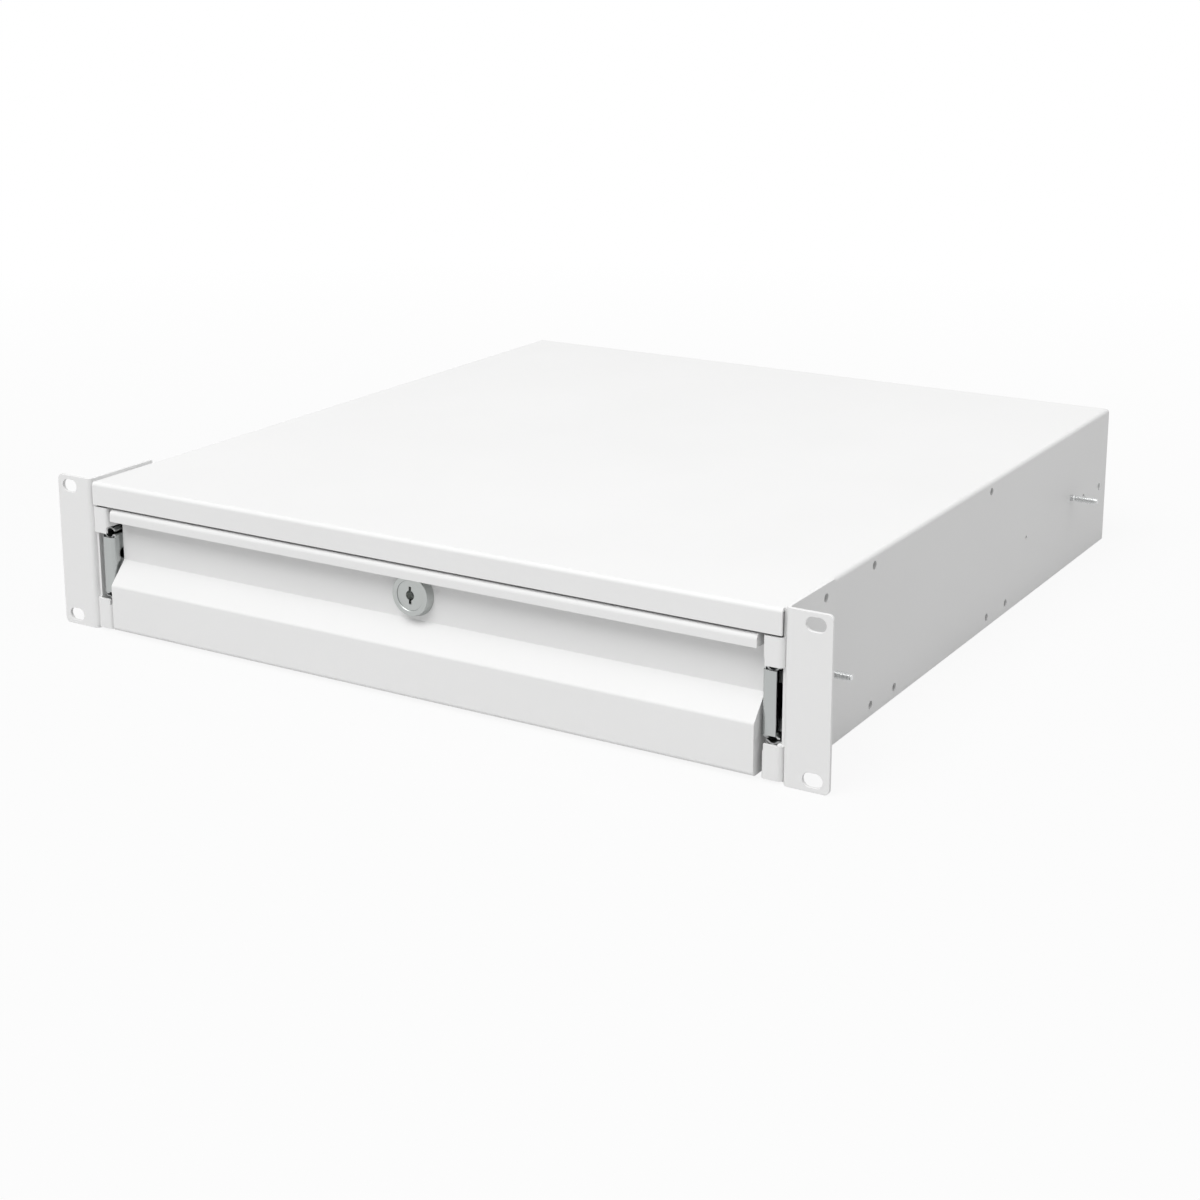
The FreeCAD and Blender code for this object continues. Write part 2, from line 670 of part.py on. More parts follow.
def ball(centre):
    """A ball with few faces: bands of flats from its lower to its upper pole."""
    x, y, z = centre
    bands = BALL_FLATS // 2
    rings = []
    for index in range(bands + 1):
        tilt = math.pi * index / bands
        ring_z = z - BALL_RADIUS * math.cos(tilt)
        rings.append(ball_ring((x, y, ring_z), BALL_RADIUS * math.sin(tilt)))
    faces = []
    for lower, upper in zip(rings, rings[1:]):
        for index in range(BALL_FLATS):
            corners = [lower[index], lower[index + 1], upper[index + 1], upper[index]]
            if lower is rings[0]:
                corners = corners[1:]
            if upper is rings[-1]:
                corners = corners[:3]
            faces.append(Part.Face(Part.makePolygon(corners + corners[:1])))
    return Part.Solid(Part.Shell(faces))


def balls():
    return [ball(place) for place in ball_places()]


def slide_buffer():
    """The right slide's rear buffer: a plastic block that the closing inner member meets."""
    x_range = (slide_x(SLIDE_THICKNESS - OUTER_LIP_GAP), slide_x(SLIDE_SHEET))
    z_range = (SLIDE_AXIS_Z - BUFFER_HALF_HEIGHT, SLIDE_AXIS_Z + BUFFER_HALF_HEIGHT)
    body = block(x_range, (BUFFER_START_Y, BUFFER_START_Y + BUFFER_LENGTH), z_range)
    upright = [edge for edge in body.Edges if edge.BoundBox.XLength > 1]
    return body.makeFillet(BUFFER_ROUND, upright)


def front_path():
    """The drawer front's visible face from its bottom return up to the grip strip's lip."""
    return [
        (BOTTOM_RETURN, LIP_BOTTOM_Z),
        (LIP_Y, LIP_BOTTOM_Z),
        (LIP_Y, LIP_TOP_Z),
        (PANEL_Y, LIP_TOP_Z + SLOPE_RISE),
        (PANEL_Y, GRIP_TOP_Z - SHEET),
        (GRIP_Y + SHEET, GRIP_TOP_Z - SHEET),
        (GRIP_Y + SHEET, GRIP_TOP_Z - GRIP_LIP),
    ]


def front_side_outlines():
    """The welded end plates of the front: one closes the lower box, one the grip strip."""
    core = shifted_right(front_path(), SHEET / 2)
    box = core[1:4] + [(core[3][0], core[1][1])]
    strip = core[4:7] + [(core[4][0], core[6][1])]
    return [box, strip]


def barrel_prism(radius, flats, start, end):
    """The lock barrel's double-D section between two depths."""
    body = rod(radius, (0.0, start, LOCK_Z), BACK, end - start)
    keep = block((-flats, flats), (start, end), (LOCK_Z - radius - 1, LOCK_Z + radius + 1))
    return body.common(keep)


def drawer_front():
    """One folded sheet: bottom return, lip, slope, recessed panel and the grip strip."""
    bends = (FRONT_FOLD, FRONT_FOLD, FRONT_FOLD, FRONT_FOLD, GRIP_FOLD)
    sheet = folded(front_path(), SHEET, bends, "YZ", -FRONT_HALF, FRONT_HALF)
    ends = [plate(outline, "YZ", FRONT_HALF - SHEET, FRONT_HALF) for outline in front_side_outlines()]
    hole_radius = BARREL_RADIUS + PLUG_PLAY * 2
    hole = barrel_prism(hole_radius, BARREL_FLATS + PLUG_PLAY * 2, PANEL_Y - 1, PANEL_Y + SHEET + 1)
    return joined([sheet] + both_sides(ends)).cut(hole)


def drawer_tray():
    """The open tray: floor and hemmed sides of one sheet, front and back walls folded up."""
    section = [
        (TRAY_HALF - 2 * (SHEET + HEM_FOLD), TRAY_TOP_Z - HEM_HEIGHT),
        (TRAY_HALF - 2 * (SHEET + HEM_FOLD), TRAY_TOP_Z),
        (TRAY_HALF, TRAY_TOP_Z),
        (TRAY_HALF, TRAY_BOTTOM_Z),
        (-TRAY_HALF, TRAY_BOTTOM_Z),
        (-TRAY_HALF, TRAY_TOP_Z),
        (-TRAY_HALF + 2 * (SHEET + HEM_FOLD), TRAY_TOP_Z),
        (-TRAY_HALF + 2 * (SHEET + HEM_FOLD), TRAY_TOP_Z - HEM_HEIGHT),
    ]
    bends = (HEM_FOLD, HEM_FOLD, TRAY_FOLD, TRAY_FOLD, HEM_FOLD, HEM_FOLD)
    sides = folded(section, SHEET, bends, "XZ", TRAY_FRONT_Y, TRAY_BACK_Y)
    fold_half = TRAY_HALF - SHEET - TRAY_FOLD
    front_top_z = TRAY_TOP_Z + TRAY_FRONT_RISE
    front_line = [
        (TRAY_FRONT_Y + TRAY_FLAP, TRAY_BOTTOM_Z),
        (TRAY_FRONT_Y, TRAY_BOTTOM_Z),
        (TRAY_FRONT_Y, front_top_z),
    ]
    back_line = [
        (TRAY_BACK_Y, TRAY_TOP_Z),
        (TRAY_BACK_Y, TRAY_BOTTOM_Z),
        (TRAY_BACK_Y - TRAY_FLAP, TRAY_BOTTOM_Z),
    ]
    front = folded(front_line, SHEET, (TRAY_FOLD,), "YZ", -fold_half, fold_half)
    back = folded(back_line, SHEET, (TRAY_FOLD,), "YZ", -fold_half, fold_half)
    wall_half = TRAY_HALF - SHEET / 2
    wall_low = TRAY_BOTTOM_Z + SHEET + TRAY_FOLD
    walls = [
        block((-wall_half, wall_half), (y, y + SHEET), (wall_low, TRAY_TOP_Z))
        for y in (TRAY_FRONT_Y, TRAY_BACK_Y - SHEET)
    ]
    floor_ends = []
    for y in (TRAY_FRONT_Y, TRAY_BACK_Y - SHEET - TRAY_FOLD):
        floor_ends.append(
            block(
                (-fold_half, fold_half),
                (y, y + SHEET + TRAY_FOLD),
                (TRAY_BOTTOM_Z - 1, wall_low),
            )
        )
    tray = sides.cut(floor_ends)
    tray = joined([tray, front, back] + walls)
    return tray.cut(rod(BARREL_RADIUS + HOLE_PLAY, (0.0, TRAY_FRONT_Y - 1, LOCK_Z), BACK, SHEET + 2))


def revolved(profile):
    """A turned piece about the lock axis from (radius, y) points."""
    points = [FreeCAD.Vector(radius, y, LOCK_Z) for radius, y in profile]
    face = Part.Face(Part.makePolygon(points + points[:1]))
    return face.revolve(FreeCAD.Vector(0, 0, LOCK_Z), BACK, 360)


def lock_housing():
    """The lock's cast body: tapered ring in front of the panel, double-D barrel behind it."""
    bore = PLUG_RADIUS + PLUG_PLAY
    ring = revolved(
        [
            (bore + PLUG_RECESS, RING_FRONT_Y),
            (RING_FRONT_RADIUS - RING_BEVEL, RING_FRONT_Y),
            (RING_FRONT_RADIUS, RING_FRONT_Y + RING_BEVEL),
            (RING_BASE_RADIUS, PANEL_Y),
            (bore, PANEL_Y),
            (bore, RING_FRONT_Y + PLUG_RECESS),
        ]
    )
    barrel = barrel_prism(BARREL_RADIUS, BARREL_FLATS, PANEL_Y, BARREL_END_Y)
    hollow = rod(bore, (0.0, PANEL_Y - 1, LOCK_Z), BACK, BARREL_DEPTH + 2)
    return joined([ring, barrel.cut(hollow)])


def lock_nut():
    start = TRAY_FRONT_Y + SHEET
    body = hexagon(LOCK_NUT_FLATS, (0.0, LOCK_Z), "XZ", start, start + LOCK_NUT_HEIGHT)
    return body.cut(rod(BARREL_RADIUS + PLUG_PLAY, (0.0, start - 1, LOCK_Z), BACK, LOCK_NUT_HEIGHT + 2))


def lock_plug():
    """The turning plug: keyhole in front, square drive for the cam behind."""
    start = RING_FRONT_Y + PLUG_RECESS
    body = rod(PLUG_RADIUS, (0.0, start, LOCK_Z), BACK, CAM_FRONT_Y - start)
    half = CAM_SQUARE / 2
    square = block((-half, half), (CAM_FRONT_Y, CAM_BACK_Y), (LOCK_Z - half, LOCK_Z + half))
    keyway = [
        rod(KEYHOLE_RADIUS, (0.0, start - 1, LOCK_Z), BACK, KEYHOLE_DEPTH + 1),
        block(
            (-KEYHOLE_SLOT / 2, KEYHOLE_SLOT / 2),
            (start - 1, start + KEYHOLE_DEPTH),
            (LOCK_Z - KEYHOLE_HEIGHT / 2, LOCK_Z + KEYHOLE_HEIGHT / 2),
        ),
    ]
    thread = rod(CAM_SCREW_RADIUS, (0.0, CAM_BACK_Y - CAM_SCREW_DEPTH, LOCK_Z), BACK, CAM_SCREW_DEPTH + 1)
    return joined([body, square]).cut(keyway + [thread])


def lock_cam():
    """The cam plate on the plug's square, pointing sideways while unlocked."""
    hub = rod(CAM_HUB_RADIUS, (0.0, CAM_FRONT_Y, LOCK_Z), BACK, CAM_SHEET)
    tip_x = -(CAM_LENGTH - CAM_TIP_RADIUS)
    tip = rod(CAM_TIP_RADIUS, (tip_x, CAM_FRONT_Y, LOCK_Z), BACK, CAM_SHEET)
    lean = (CAM_HUB_RADIUS - CAM_TIP_RADIUS) / tip_x
    rise = math.sqrt(1 - lean * lean)
    arm = plate(
        [
            (CAM_HUB_RADIUS * lean, LOCK_Z + CAM_HUB_RADIUS * rise),
            (tip_x + CAM_TIP_RADIUS * lean, LOCK_Z + CAM_TIP_RADIUS * rise),
            (tip_x + CAM_TIP_RADIUS * lean, LOCK_Z - CAM_TIP_RADIUS * rise),
            (CAM_HUB_RADIUS * lean, LOCK_Z - CAM_HUB_RADIUS * rise),
        ],
        "XZ",
        CAM_FRONT_Y,
        CAM_BACK_Y,
    )
    half = CAM_SQUARE / 2 + CAM_SQUARE_PLAY
    hole = block((-half, half), (CAM_FRONT_Y - 1, CAM_BACK_Y + 1), (LOCK_Z - half, LOCK_Z + half))
    return joined([hub, arm, tip]).cut(hole)


def cam_screw():
    shank_start = CAM_BACK_Y - CAM_SCREW_DEPTH + CAM_SCREW_GAP
    shank = rod(CAM_SCREW_RADIUS, (0.0, shank_start, LOCK_Z), BACK, CAM_BACK_Y - shank_start)
    head = rod(CAM_HEAD_RADIUS, (0.0, CAM_BACK_Y, LOCK_Z), BACK, CAM_HEAD_HEIGHT)
    head_end = CAM_BACK_Y + CAM_HEAD_HEIGHT
    slot_y = (head_end - CAM_HEAD_SLOT_DEPTH, head_end + 1)
    slot_z = (LOCK_Z - CAM_HEAD_RADIUS - 1, LOCK_Z + CAM_HEAD_RADIUS + 1)
    slot = block((-CAM_HEAD_SLOT / 2, CAM_HEAD_SLOT / 2), slot_y, slot_z)
    return joined([shank, head]).cut(slot)


def save(name, shape):
    shape.exportStep("parts/" + name + ".step")
    print(name, len(shape.Solids), "solid(s), valid", shape.isValid(), "volume", round(shape.Volume, 1))


def save_pair(name, shape):
    """A right-hand piece and its mirror image, as two nodes."""
    save(name + "_right", shape)
    save(name + "_left", mirrored(shape))


def main():
    os.makedirs("parts", exist_ok=True)
    save("housing_shell", housing_shell())
    save("rear_panel", rear_panel())
    save("top_stiffener_front", top_stiffener(STIFFENER_YS[0]))
    save("top_stiffener_rear", top_stiffener(STIFFENER_YS[1]))
    save("bottom_brace_front", bottom_brace(STIFFENER_YS[0]))
    save("bottom_brace_rear", bottom_brace(STIFFENER_YS[1]))
    save("lock_strike", lock_strike())
    save_pair("rack_ear", rack_ear())
    save("side_studs", side_studs())
    save_pair("slide_outer", slide_outer())
    save_pair("slide_buffer", slide_buffer())
    save_pair("slide_inner", slide_inner())
    save_pair("ball_cage", ball_cage())
    save_pair("balls", Part.makeCompound(balls()))
    save("drawer_front", drawer_front())
    save("drawer_tray", drawer_tray())
    save("lock_housing", lock_housing())
    save("lock_nut", lock_nut())
    save("lock_plug", lock_plug())
    save("lock_cam", lock_cam())
    save("cam_screw", cam_screw())


main()
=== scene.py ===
import math

import bpy
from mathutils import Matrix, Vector


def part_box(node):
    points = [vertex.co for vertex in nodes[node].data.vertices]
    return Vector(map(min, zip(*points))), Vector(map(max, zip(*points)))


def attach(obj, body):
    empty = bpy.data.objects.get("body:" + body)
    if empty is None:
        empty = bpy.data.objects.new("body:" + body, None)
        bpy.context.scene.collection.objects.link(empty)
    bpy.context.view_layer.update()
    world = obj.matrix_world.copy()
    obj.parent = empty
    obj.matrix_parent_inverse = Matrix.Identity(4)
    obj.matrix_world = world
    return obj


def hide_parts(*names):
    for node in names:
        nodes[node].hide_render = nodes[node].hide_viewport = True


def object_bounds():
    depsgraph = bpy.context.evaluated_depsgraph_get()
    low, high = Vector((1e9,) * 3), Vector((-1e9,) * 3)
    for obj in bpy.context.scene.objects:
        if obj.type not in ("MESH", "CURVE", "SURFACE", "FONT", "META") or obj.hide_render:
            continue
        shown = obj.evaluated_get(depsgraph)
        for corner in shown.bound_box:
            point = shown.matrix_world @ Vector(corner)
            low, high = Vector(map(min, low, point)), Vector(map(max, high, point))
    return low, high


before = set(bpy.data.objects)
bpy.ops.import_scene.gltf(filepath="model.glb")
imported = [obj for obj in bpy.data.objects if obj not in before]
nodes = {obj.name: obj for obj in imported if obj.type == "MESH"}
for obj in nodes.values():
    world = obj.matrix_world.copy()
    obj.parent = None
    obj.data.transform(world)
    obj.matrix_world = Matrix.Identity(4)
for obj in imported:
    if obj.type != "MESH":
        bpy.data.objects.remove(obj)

cad_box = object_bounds()

# Housing shell: the cover and both side walls, one folded steel sheet that carries everything else.
# It is powder-coated in light grey, and the coat rounds every punched edge a little.
MM = 0.001
COAT_GREY = (0.79, 0.79, 0.788)
COAT_ROUGHNESS = 0.5
COAT_SHINE = 0.35
PEEL_HEIGHT = 0.018 * MM
COAT_GRAIN_HEIGHT = 0.006 * MM
EDGE_ROUND = 0.22 * MM
MERGE_DISTANCE = 0.002 * MM
FLAT_ANGLE = math.radians(0.4)
SHARP_ANGLE = math.radians(28)
SMOOTH_ANGLE = math.radians(40)


def deselect_all():
    bpy.ops.object.select_all(action="DESELECT")


def select_only(piece):
    deselect_all()
    piece.select_set(True)
    bpy.context.view_layer.objects.active = piece


def merged_copy(node, name):
    """The CAD piece again as its own object, with its loose triangles merged into whole faces."""
    piece = bpy.data.objects.new(name, nodes[node].data.copy())
    piece.data.materials.clear()
    bpy.context.collection.objects.link(piece)
    select_only(piece)
    bpy.ops.object.mode_set(mode="EDIT")
    bpy.ops.mesh.select_all(action="SELECT")
    bpy.ops.mesh.remove_doubles(threshold=MERGE_DISTANCE)
    bpy.ops.mesh.dissolve_limited(angle_limit=FLAT_ANGLE)
    bpy.ops.object.mode_set(mode="OBJECT")
    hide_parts(node)
    return piece


def apply_modifiers(piece):
    select_only(piece)
    for modifier in list(piece.modifiers):
        bpy.ops.object.modifier_apply(modifier=modifier.name)


def round_edges(piece, width=EDGE_ROUND, segments=2):
    """A narrow bevel on every sharp edge, shaded so that the flats stay flat."""
    bevel = piece.modifiers.new("edges", "BEVEL")
    bevel.width = width
    bevel.segments = segments
    bevel.limit_method = "ANGLE"
    bevel.angle_limit = SHARP_ANGLE
    apply_modifiers(piece)
    bpy.ops.object.shade_smooth_by_angle(angle=SMOOTH_ANGLE)
    weighted = piece.modifiers.new("shading", "WEIGHTED_NORMAL")
    weighted.keep_sharp = True
    apply_modifiers(piece)


def bare_tree(owner, output_kind):
    """The node tree of a material or world, emptied, with a fresh output."""
    owner.use_nodes = True
    tree = owner.node_tree
    tree.nodes.clear()
    return tree, tree.nodes.new(output_kind)


def new_material(name):
    material = bpy.data.materials.new(name)
    tree, output = bare_tree(material, "ShaderNodeOutputMaterial")
    shader = tree.nodes.new("ShaderNodeBsdfPrincipled")
    tree.links.new(shader.outputs[0], output.inputs[0])
    return material, tree, shader


def object_noise(tree, scale, detail=2.0, stretch=(1, 1, 1)):
    """Noise on the piece's own coordinates, at that many waves a metre."""
    place = tree.nodes.new("ShaderNodeTexCoord")
    mapping = tree.nodes.new("ShaderNodeMapping")
    mapping.inputs["Scale"].default_value = stretch
    noise = tree.nodes.new("ShaderNodeTexNoise")
    noise.inputs["Scale"].default_value = scale
    noise.inputs["Detail"].default_value = detail
    tree.links.new(place.outputs["Object"], mapping.inputs["Vector"])
    tree.links.new(mapping.outputs[0], noise.inputs["Vector"])
    return noise.outputs["Fac"]


def between(tree, driver, low, high, start=0.3, end=0.7):
    """A number or colour that runs from low to high as the driver runs from start to end."""
    ramp = tree.nodes.new("ShaderNodeMapRange")
    ramp.inputs["From Min"].default_value = start
    ramp.inputs["From Max"].default_value = end
    tree.links.new(driver, ramp.inputs["Value"])
    if isinstance(low, tuple):
        mix = tree.nodes.new("ShaderNodeMix")
        mix.data_type = "RGBA"
        mix.inputs[6].default_value = (*low, 1)
        mix.inputs[7].default_value = (*high, 1)
        tree.links.new(ramp.outputs[0], mix.inputs[0])
        return mix.outputs[2]
    ramp.inputs["To Min"].default_value = low
    ramp.inputs["To Max"].default_value = high
    return ramp.outputs[0]


def darkened(colour, share):
    return tuple(share * part for part in colour)


def add_bump(tree, shader, drivers):
    """Bumps in a row, each (noise, height in metres)."""
    last = None
    for noise, height in drivers:
        bump = tree.nodes.new("ShaderNodeBump")
        bump.inputs["Strength"].default_value = 1.0
        bump.inputs["Distance"].default_value = height
        tree.links.new(noise, bump.inputs["Height"])
        if last:
            tree.links.new(last.outputs[0], bump.inputs["Normal"])
        last = bump
    tree.links.new(last.outputs[0], shader.inputs["Normal"])


def powder_coat():
    """Fine-textured polyester powder coat: faint cloudiness, tiny orange peel, even satin."""
    material, tree, shader = new_material("powder_coat")
    cloud = object_noise(tree, 9, 4.0)
    tint = between(tree, cloud, darkened(COAT_GREY, 0.98), COAT_GREY)
    tree.links.new(tint, shader.inputs["Base Color"])
    grain = object_noise(tree, 1400, 3.0)
    roughness = between(tree, grain, COAT_ROUGHNESS - 0.05, COAT_ROUGHNESS + 0.07)
    tree.links.new(roughness, shader.inputs["Roughness"])
    peel = object_noise(tree, 420, 2.0)
    add_bump(tree, shader, [(peel, PEEL_HEIGHT), (grain, COAT_GRAIN_HEIGHT)])
    shader.inputs["Specular IOR Level"].default_value = COAT_SHINE
    return material


coat = powder_coat()


def finish(piece, body, material):
    """The piece's material and the body it moves with."""
    piece.data.materials.clear()
    piece.data.materials.append(material)
    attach(piece, body)


def coated_sheet(node, name, body):
    """A folded and coated sheet from its CAD piece, with the coat's soft edges."""
    piece = merged_copy(node, name)
    round_edges(piece)
    finish(piece, body, coat)


coated_sheet("housing_shell", "housing_sheet", "housing")

# Rear panel: a plate of the same coated steel that closes the back of the housing.
# It is flanged under the cover and along the bottom, with tabs welded inside the walls.
coated_sheet("rear_panel", "rear_plate", "housing")

# Bottom braces: two shallow channels of coated steel that tie the walls together under the drawer.
# Their end tabs are punched through behind the walls' fixing holes.
TAB_HOLE_RADIUS = 2.2 * MM
BRACE_HOLE_SETIN = 8 * MM
BRACE_HOLE_RISE = 5.9 * MM
PUNCH_LENGTH = 1.0
QUARTER_TURN = math.pi / 2


def rod(radius, length, place, turn=(0, 0, 0), sides=32):
    """A plain rod to punch with, along Z before its turn."""
    deselect_all()
    bpy.ops.mesh.primitive_cylinder_add(
        vertices=sides, radius=radius, depth=length, location=place, rotation=turn
    )
    return bpy.context.object


def cut_away(piece, cutter):
    """Takes the cutter's shape out of the piece and removes the cutter."""
    cut = piece.modifiers.new("cut", "BOOLEAN")
    cut.object = cutter
    cut.solver = "EXACT"
    apply_modifiers(piece)
    bpy.data.objects.remove(cutter)


def punch_tabs(piece, y, z):
    """A hole through both end tabs, from wall to wall."""
    cut_away(piece, rod(TAB_HOLE_RADIUS, PUNCH_LENGTH, (0, y, z), (0, QUARTER_TURN, 0)))


shell_low, shell_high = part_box("housing_shell")
for place in ("front", "rear"):
    brace = merged_copy("bottom_brace_" + place, "brace_channel_" + place)
    brace_low, brace_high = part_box("bottom_brace_" + place)
    for y in (brace_low.y + BRACE_HOLE_SETIN, brace_high.y - BRACE_HOLE_SETIN):
        punch_tabs(brace, y, shell_low.z + BRACE_HOLE_RISE)
    round_edges(brace)
    finish(brace, "housing", coat)

# Lock strike: a small angle of coated steel, welded under the cover behind the drawer front.
# The lock's cam turns up behind it and holds the drawer shut.
coated_sheet("lock_strike", "strike_angle", "housing")

# Rack ears: folded brackets of thicker coated steel, with two slots each for the rack's screws.
# The leg of each lies flat on its side wall and is welded there.
for side in ("right", "left"):
    coated_sheet("rack_ear_" + side, "ear_bracket_" + side, "housing")

# Top stiffeners: hat channels in bare zinc-plated steel, spot-welded under the cover.
# Zinc plate is a bright, slightly cool grey with faint clouds and a drawn grain along the sheet.
ZINC_GREY = (0.5, 0.515, 0.51)
ZINC_ROUGHNESS = 0.36
ZINC_GRAIN_HEIGHT = 0.002 * MM
STIFFENER_HOLE_DROP = 6.1 * MM
EVEN_GRAIN = (1, 1, 1)


def plated_steel(name, tone, roughness, stretch, grain_height):
    """Bright plated steel: faint clouds of tint and shine, and grain drawn out by the stretch."""
    material, tree, shader = new_material(name)
    cloud = object_noise(tree, 30, 4.0)
    tint = between(tree, cloud, darkened(tone, 0.93), tone)
    tree.links.new(tint, shader.inputs["Base Color"])
    shader.inputs["Metallic"].default_value = 1.0
    grain = object_noise(tree, 700, 3.0, stretch)
    shine = between(tree, grain, roughness - 0.05, roughness + 0.07)
    tree.links.new(shine, shader.inputs["Roughness"])
    add_bump(tree, shader, [(grain, grain_height)])
    return material


def middle(low, high):
    return (low + high) / 2


zinc = plated_steel("zinc_plate", ZINC_GREY, ZINC_ROUGHNESS, (1, 0.06, 1), ZINC_GRAIN_HEIGHT)

for place in ("front", "rear"):
    stiffener = merged_copy("top_stiffener_" + place, "stiffener_hat_" + place)
    hat_low, hat_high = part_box("top_stiffener_" + place)
    punch_tabs(stiffener, middle(hat_low.y, hat_high.y), shell_high.z - STIFFENER_HOLE_DROP)
    round_edges(stiffener)
    finish(stiffener, "housing", zinc)

# Side studs: zinc-plated weld studs with rolled threads, two on each wall for depth brackets.
# The front ones stand on a flange that fills the hole in the ear's leg.
BRIGHT_ZINC = (0.68, 0.69, 0.69)
STUD_CREST = 2.0 * MM
STUD_THREAD_DEPTH = 0.42 * MM
STUD_PITCH = 0.7 * MM
STUD_LEAD = 0.7 * MM
STUD_NECK = 2.4 * MM
NECK_TAPER = 0.2 * MM
STUD_ROUND = 0.1 * MM
STUD_SIDES = 32
FLANGE_RADIUS = 2.6 * MM
FLANGE_HEIGHT = 2.0 * MM
FLANGE_ROUND = 0.25 * MM
RIDGE_SHARE = 0.9
RIDGE_SINK = 1.2


def settle(piece):
    """Moves the piece's place, turn and size into its mesh."""
    select_only(piece)
    bpy.ops.object.transform_apply(location=True, rotation=True, scale=True)


def turned(name, profile, sides, hollow=False):
    """A turned piece about Z: one ring for each (radius, height), extruded and scaled in a row."""
    deselect_all()
    radius, height = profile[0]
    bpy.ops.mesh.primitive_circle_add(
        vertices=sides,
        radius=radius,
        fill_type="NOTHING" if hollow else "NGON",
        location=(0, 0, height),
    )
    piece = bpy.context.object
    piece.name = name
    settle(piece)
    bpy.ops.object.mode_set(mode="EDIT")
    bpy.ops.mesh.select_all(action="SELECT")
    for (before, low), (after, high) in zip(profile, profile[1:]):
        bpy.ops.mesh.extrude_region_move(TRANSFORM_OT_translate={"value": (0, 0, high - low)})
        share = after / before
        bpy.ops.transform.resize(value=(share, share, 1), center_override=(0, 0, high))
    if hollow:
        bpy.ops.mesh.select_all(action="DESELECT")
        bpy.ops.mesh.select_non_manifold()
        bpy.ops.mesh.bridge_edge_loops()
    bpy.ops.mesh.select_all(action="SELECT")
    bpy.ops.mesh.normals_make_consistent(inside=False)
    bpy.ops.object.mode_set(mode="OBJECT")
    return piece


def thread_ridge(name, crest, depth, pitch, start, turns, steps):
    """A thread about Z: a three-sided ridge carried round and up by a screw, its ends closed."""
    deselect_all()
    upright = (QUARTER_TURN, QUARTER_TURN, 0)
    bpy.ops.mesh.primitive_circle_add(
        vertices=3, radius=MM, rotation=upright, location=(0, 0, start)
    )
    piece = bpy.context.object
    piece.name = name
    settle(piece)
    outward = depth / (1.5 * MM)
    upward = RIDGE_SHARE * pitch / (math.sqrt(3) * MM)
    bpy.ops.object.mode_set(mode="EDIT")
    bpy.ops.mesh.select_all(action="SELECT")
    bpy.ops.transform.resize(value=(outward, 1, upward), center_override=(0, 0, start))
    bpy.ops.transform.translate(value=(crest - outward * MM, 0, 0))
    bpy.ops.object.mode_set(mode="OBJECT")
    screw = piece.modifiers.new("thread", "SCREW")
    screw.axis = "Z"
    screw.angle = 2 * math.pi
    screw.screw_offset = pitch
    screw.iterations = turns
    screw.steps = screw.render_steps = steps
    apply_modifiers(piece)
    bpy.ops.object.mode_set(mode="EDIT")
    bpy.ops.mesh.select_all(action="SELECT")
    bpy.ops.mesh.fill_holes(sides=3)
    bpy.ops.mesh.normals_make_consistent(inside=False)
    bpy.ops.object.mode_set(mode="OBJECT")
    return piece


def joined(name, pieces):
    """All the pieces as one object, the first with the others' meshes added."""
    select_only(pieces[0])
    for piece in pieces[1:]:
        piece.select_set(True)
    bpy.ops.object.join()
    pieces[0].name = name
    return pieces[0]


def placed_copy(model, name, place, turn):
    """A copy of a piece modelled about Z, turned and moved to its place in its own mesh."""
    piece = bpy.data.objects.new(name, model.data.copy())
    bpy.context.collection.objects.link(piece)
    piece.rotation_euler = turn
    piece.location = place
    settle(piece)
    return piece


def threaded_stud(length):
    """One stud from its weld on the wall to its chamfered end."""
    root = STUD_CREST - STUD_THREAD_DEPTH
    profile = [
        (STUD_CREST, 0),
        (STUD_CREST, STUD_NECK - NECK_TAPER),
        (root, STUD_NECK + NECK_TAPER),
        (root, length - STUD_LEAD / 2),
        (root - STUD_LEAD / 2, length),
    ]
    shank = turned("stud_shank", profile, STUD_SIDES)
    round_edges(shank, STUD_ROUND)
    turns = int((length - STUD_NECK - STUD_LEAD) / STUD_PITCH)
    depth = RIDGE_SINK * STUD_THREAD_DEPTH
    ridge = thread_ridge("stud_thread", STUD_CREST, depth, STUD_PITCH, STUD_NECK, turns, steps=24)
    return joined("weld_stud", [shank, ridge])


bright_zinc = plated_steel("bright_zinc", BRIGHT_ZINC, 0.28, EVEN_GRAIN, 0.001 * MM)
stud_low, stud_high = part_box("side_studs")
wall_x = shell_high.x
front_stud_y = stud_low.y + FLANGE_RADIUS
rear_stud_y = stud_high.y - STUD_CREST
stud = threaded_stud(stud_high.x - wall_x)
flange = turned("stud_flange", [(FLANGE_RADIUS, 0), (FLANGE_RADIUS, FLANGE_HEIGHT)], STUD_SIDES)
round_edges(flange, FLANGE_ROUND)
studs = []
for side in (1, -1):
    outward = (0, side * QUARTER_TURN, 0)
    studs.append(placed_copy(flange, "flange", (side * wall_x, front_stud_y, 0), outward))
    for y in (front_stud_y, rear_stud_y):
        studs.append(placed_copy(stud, "stud", (side * wall_x, y, 0), outward))
bpy.data.objects.remove(stud)
bpy.data.objects.remove(flange)
weld_studs = joined("weld_studs", studs)
finish(weld_studs, "housing", bright_zinc)
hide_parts("side_studs")

# Slide members: channels rolled from zinc-plated strip, the outer on the wall, the runner on the tray.
# Their ends are sheared after plating, so the cut faces are bare and matt.
SLIDE_GREY = (0.5, 0.52, 0.515)
SLIDE_ROUGHNESS = 0.34
SLIDE_GRAIN_HEIGHT = 0.0015 * MM
SHEARED_DARK = (0.62, 0.63, 0.63)
SHEARED_LIGHT = (0.74, 0.75, 0.75)
TEAR_HEIGHT = 0.01 * MM
MEMBER_ROUND = 0.1 * MM
FIRST_CUT_Y = 4 * MM
LAST_CUT_Y = 7 * MM
FACING_FRONT = -0.9

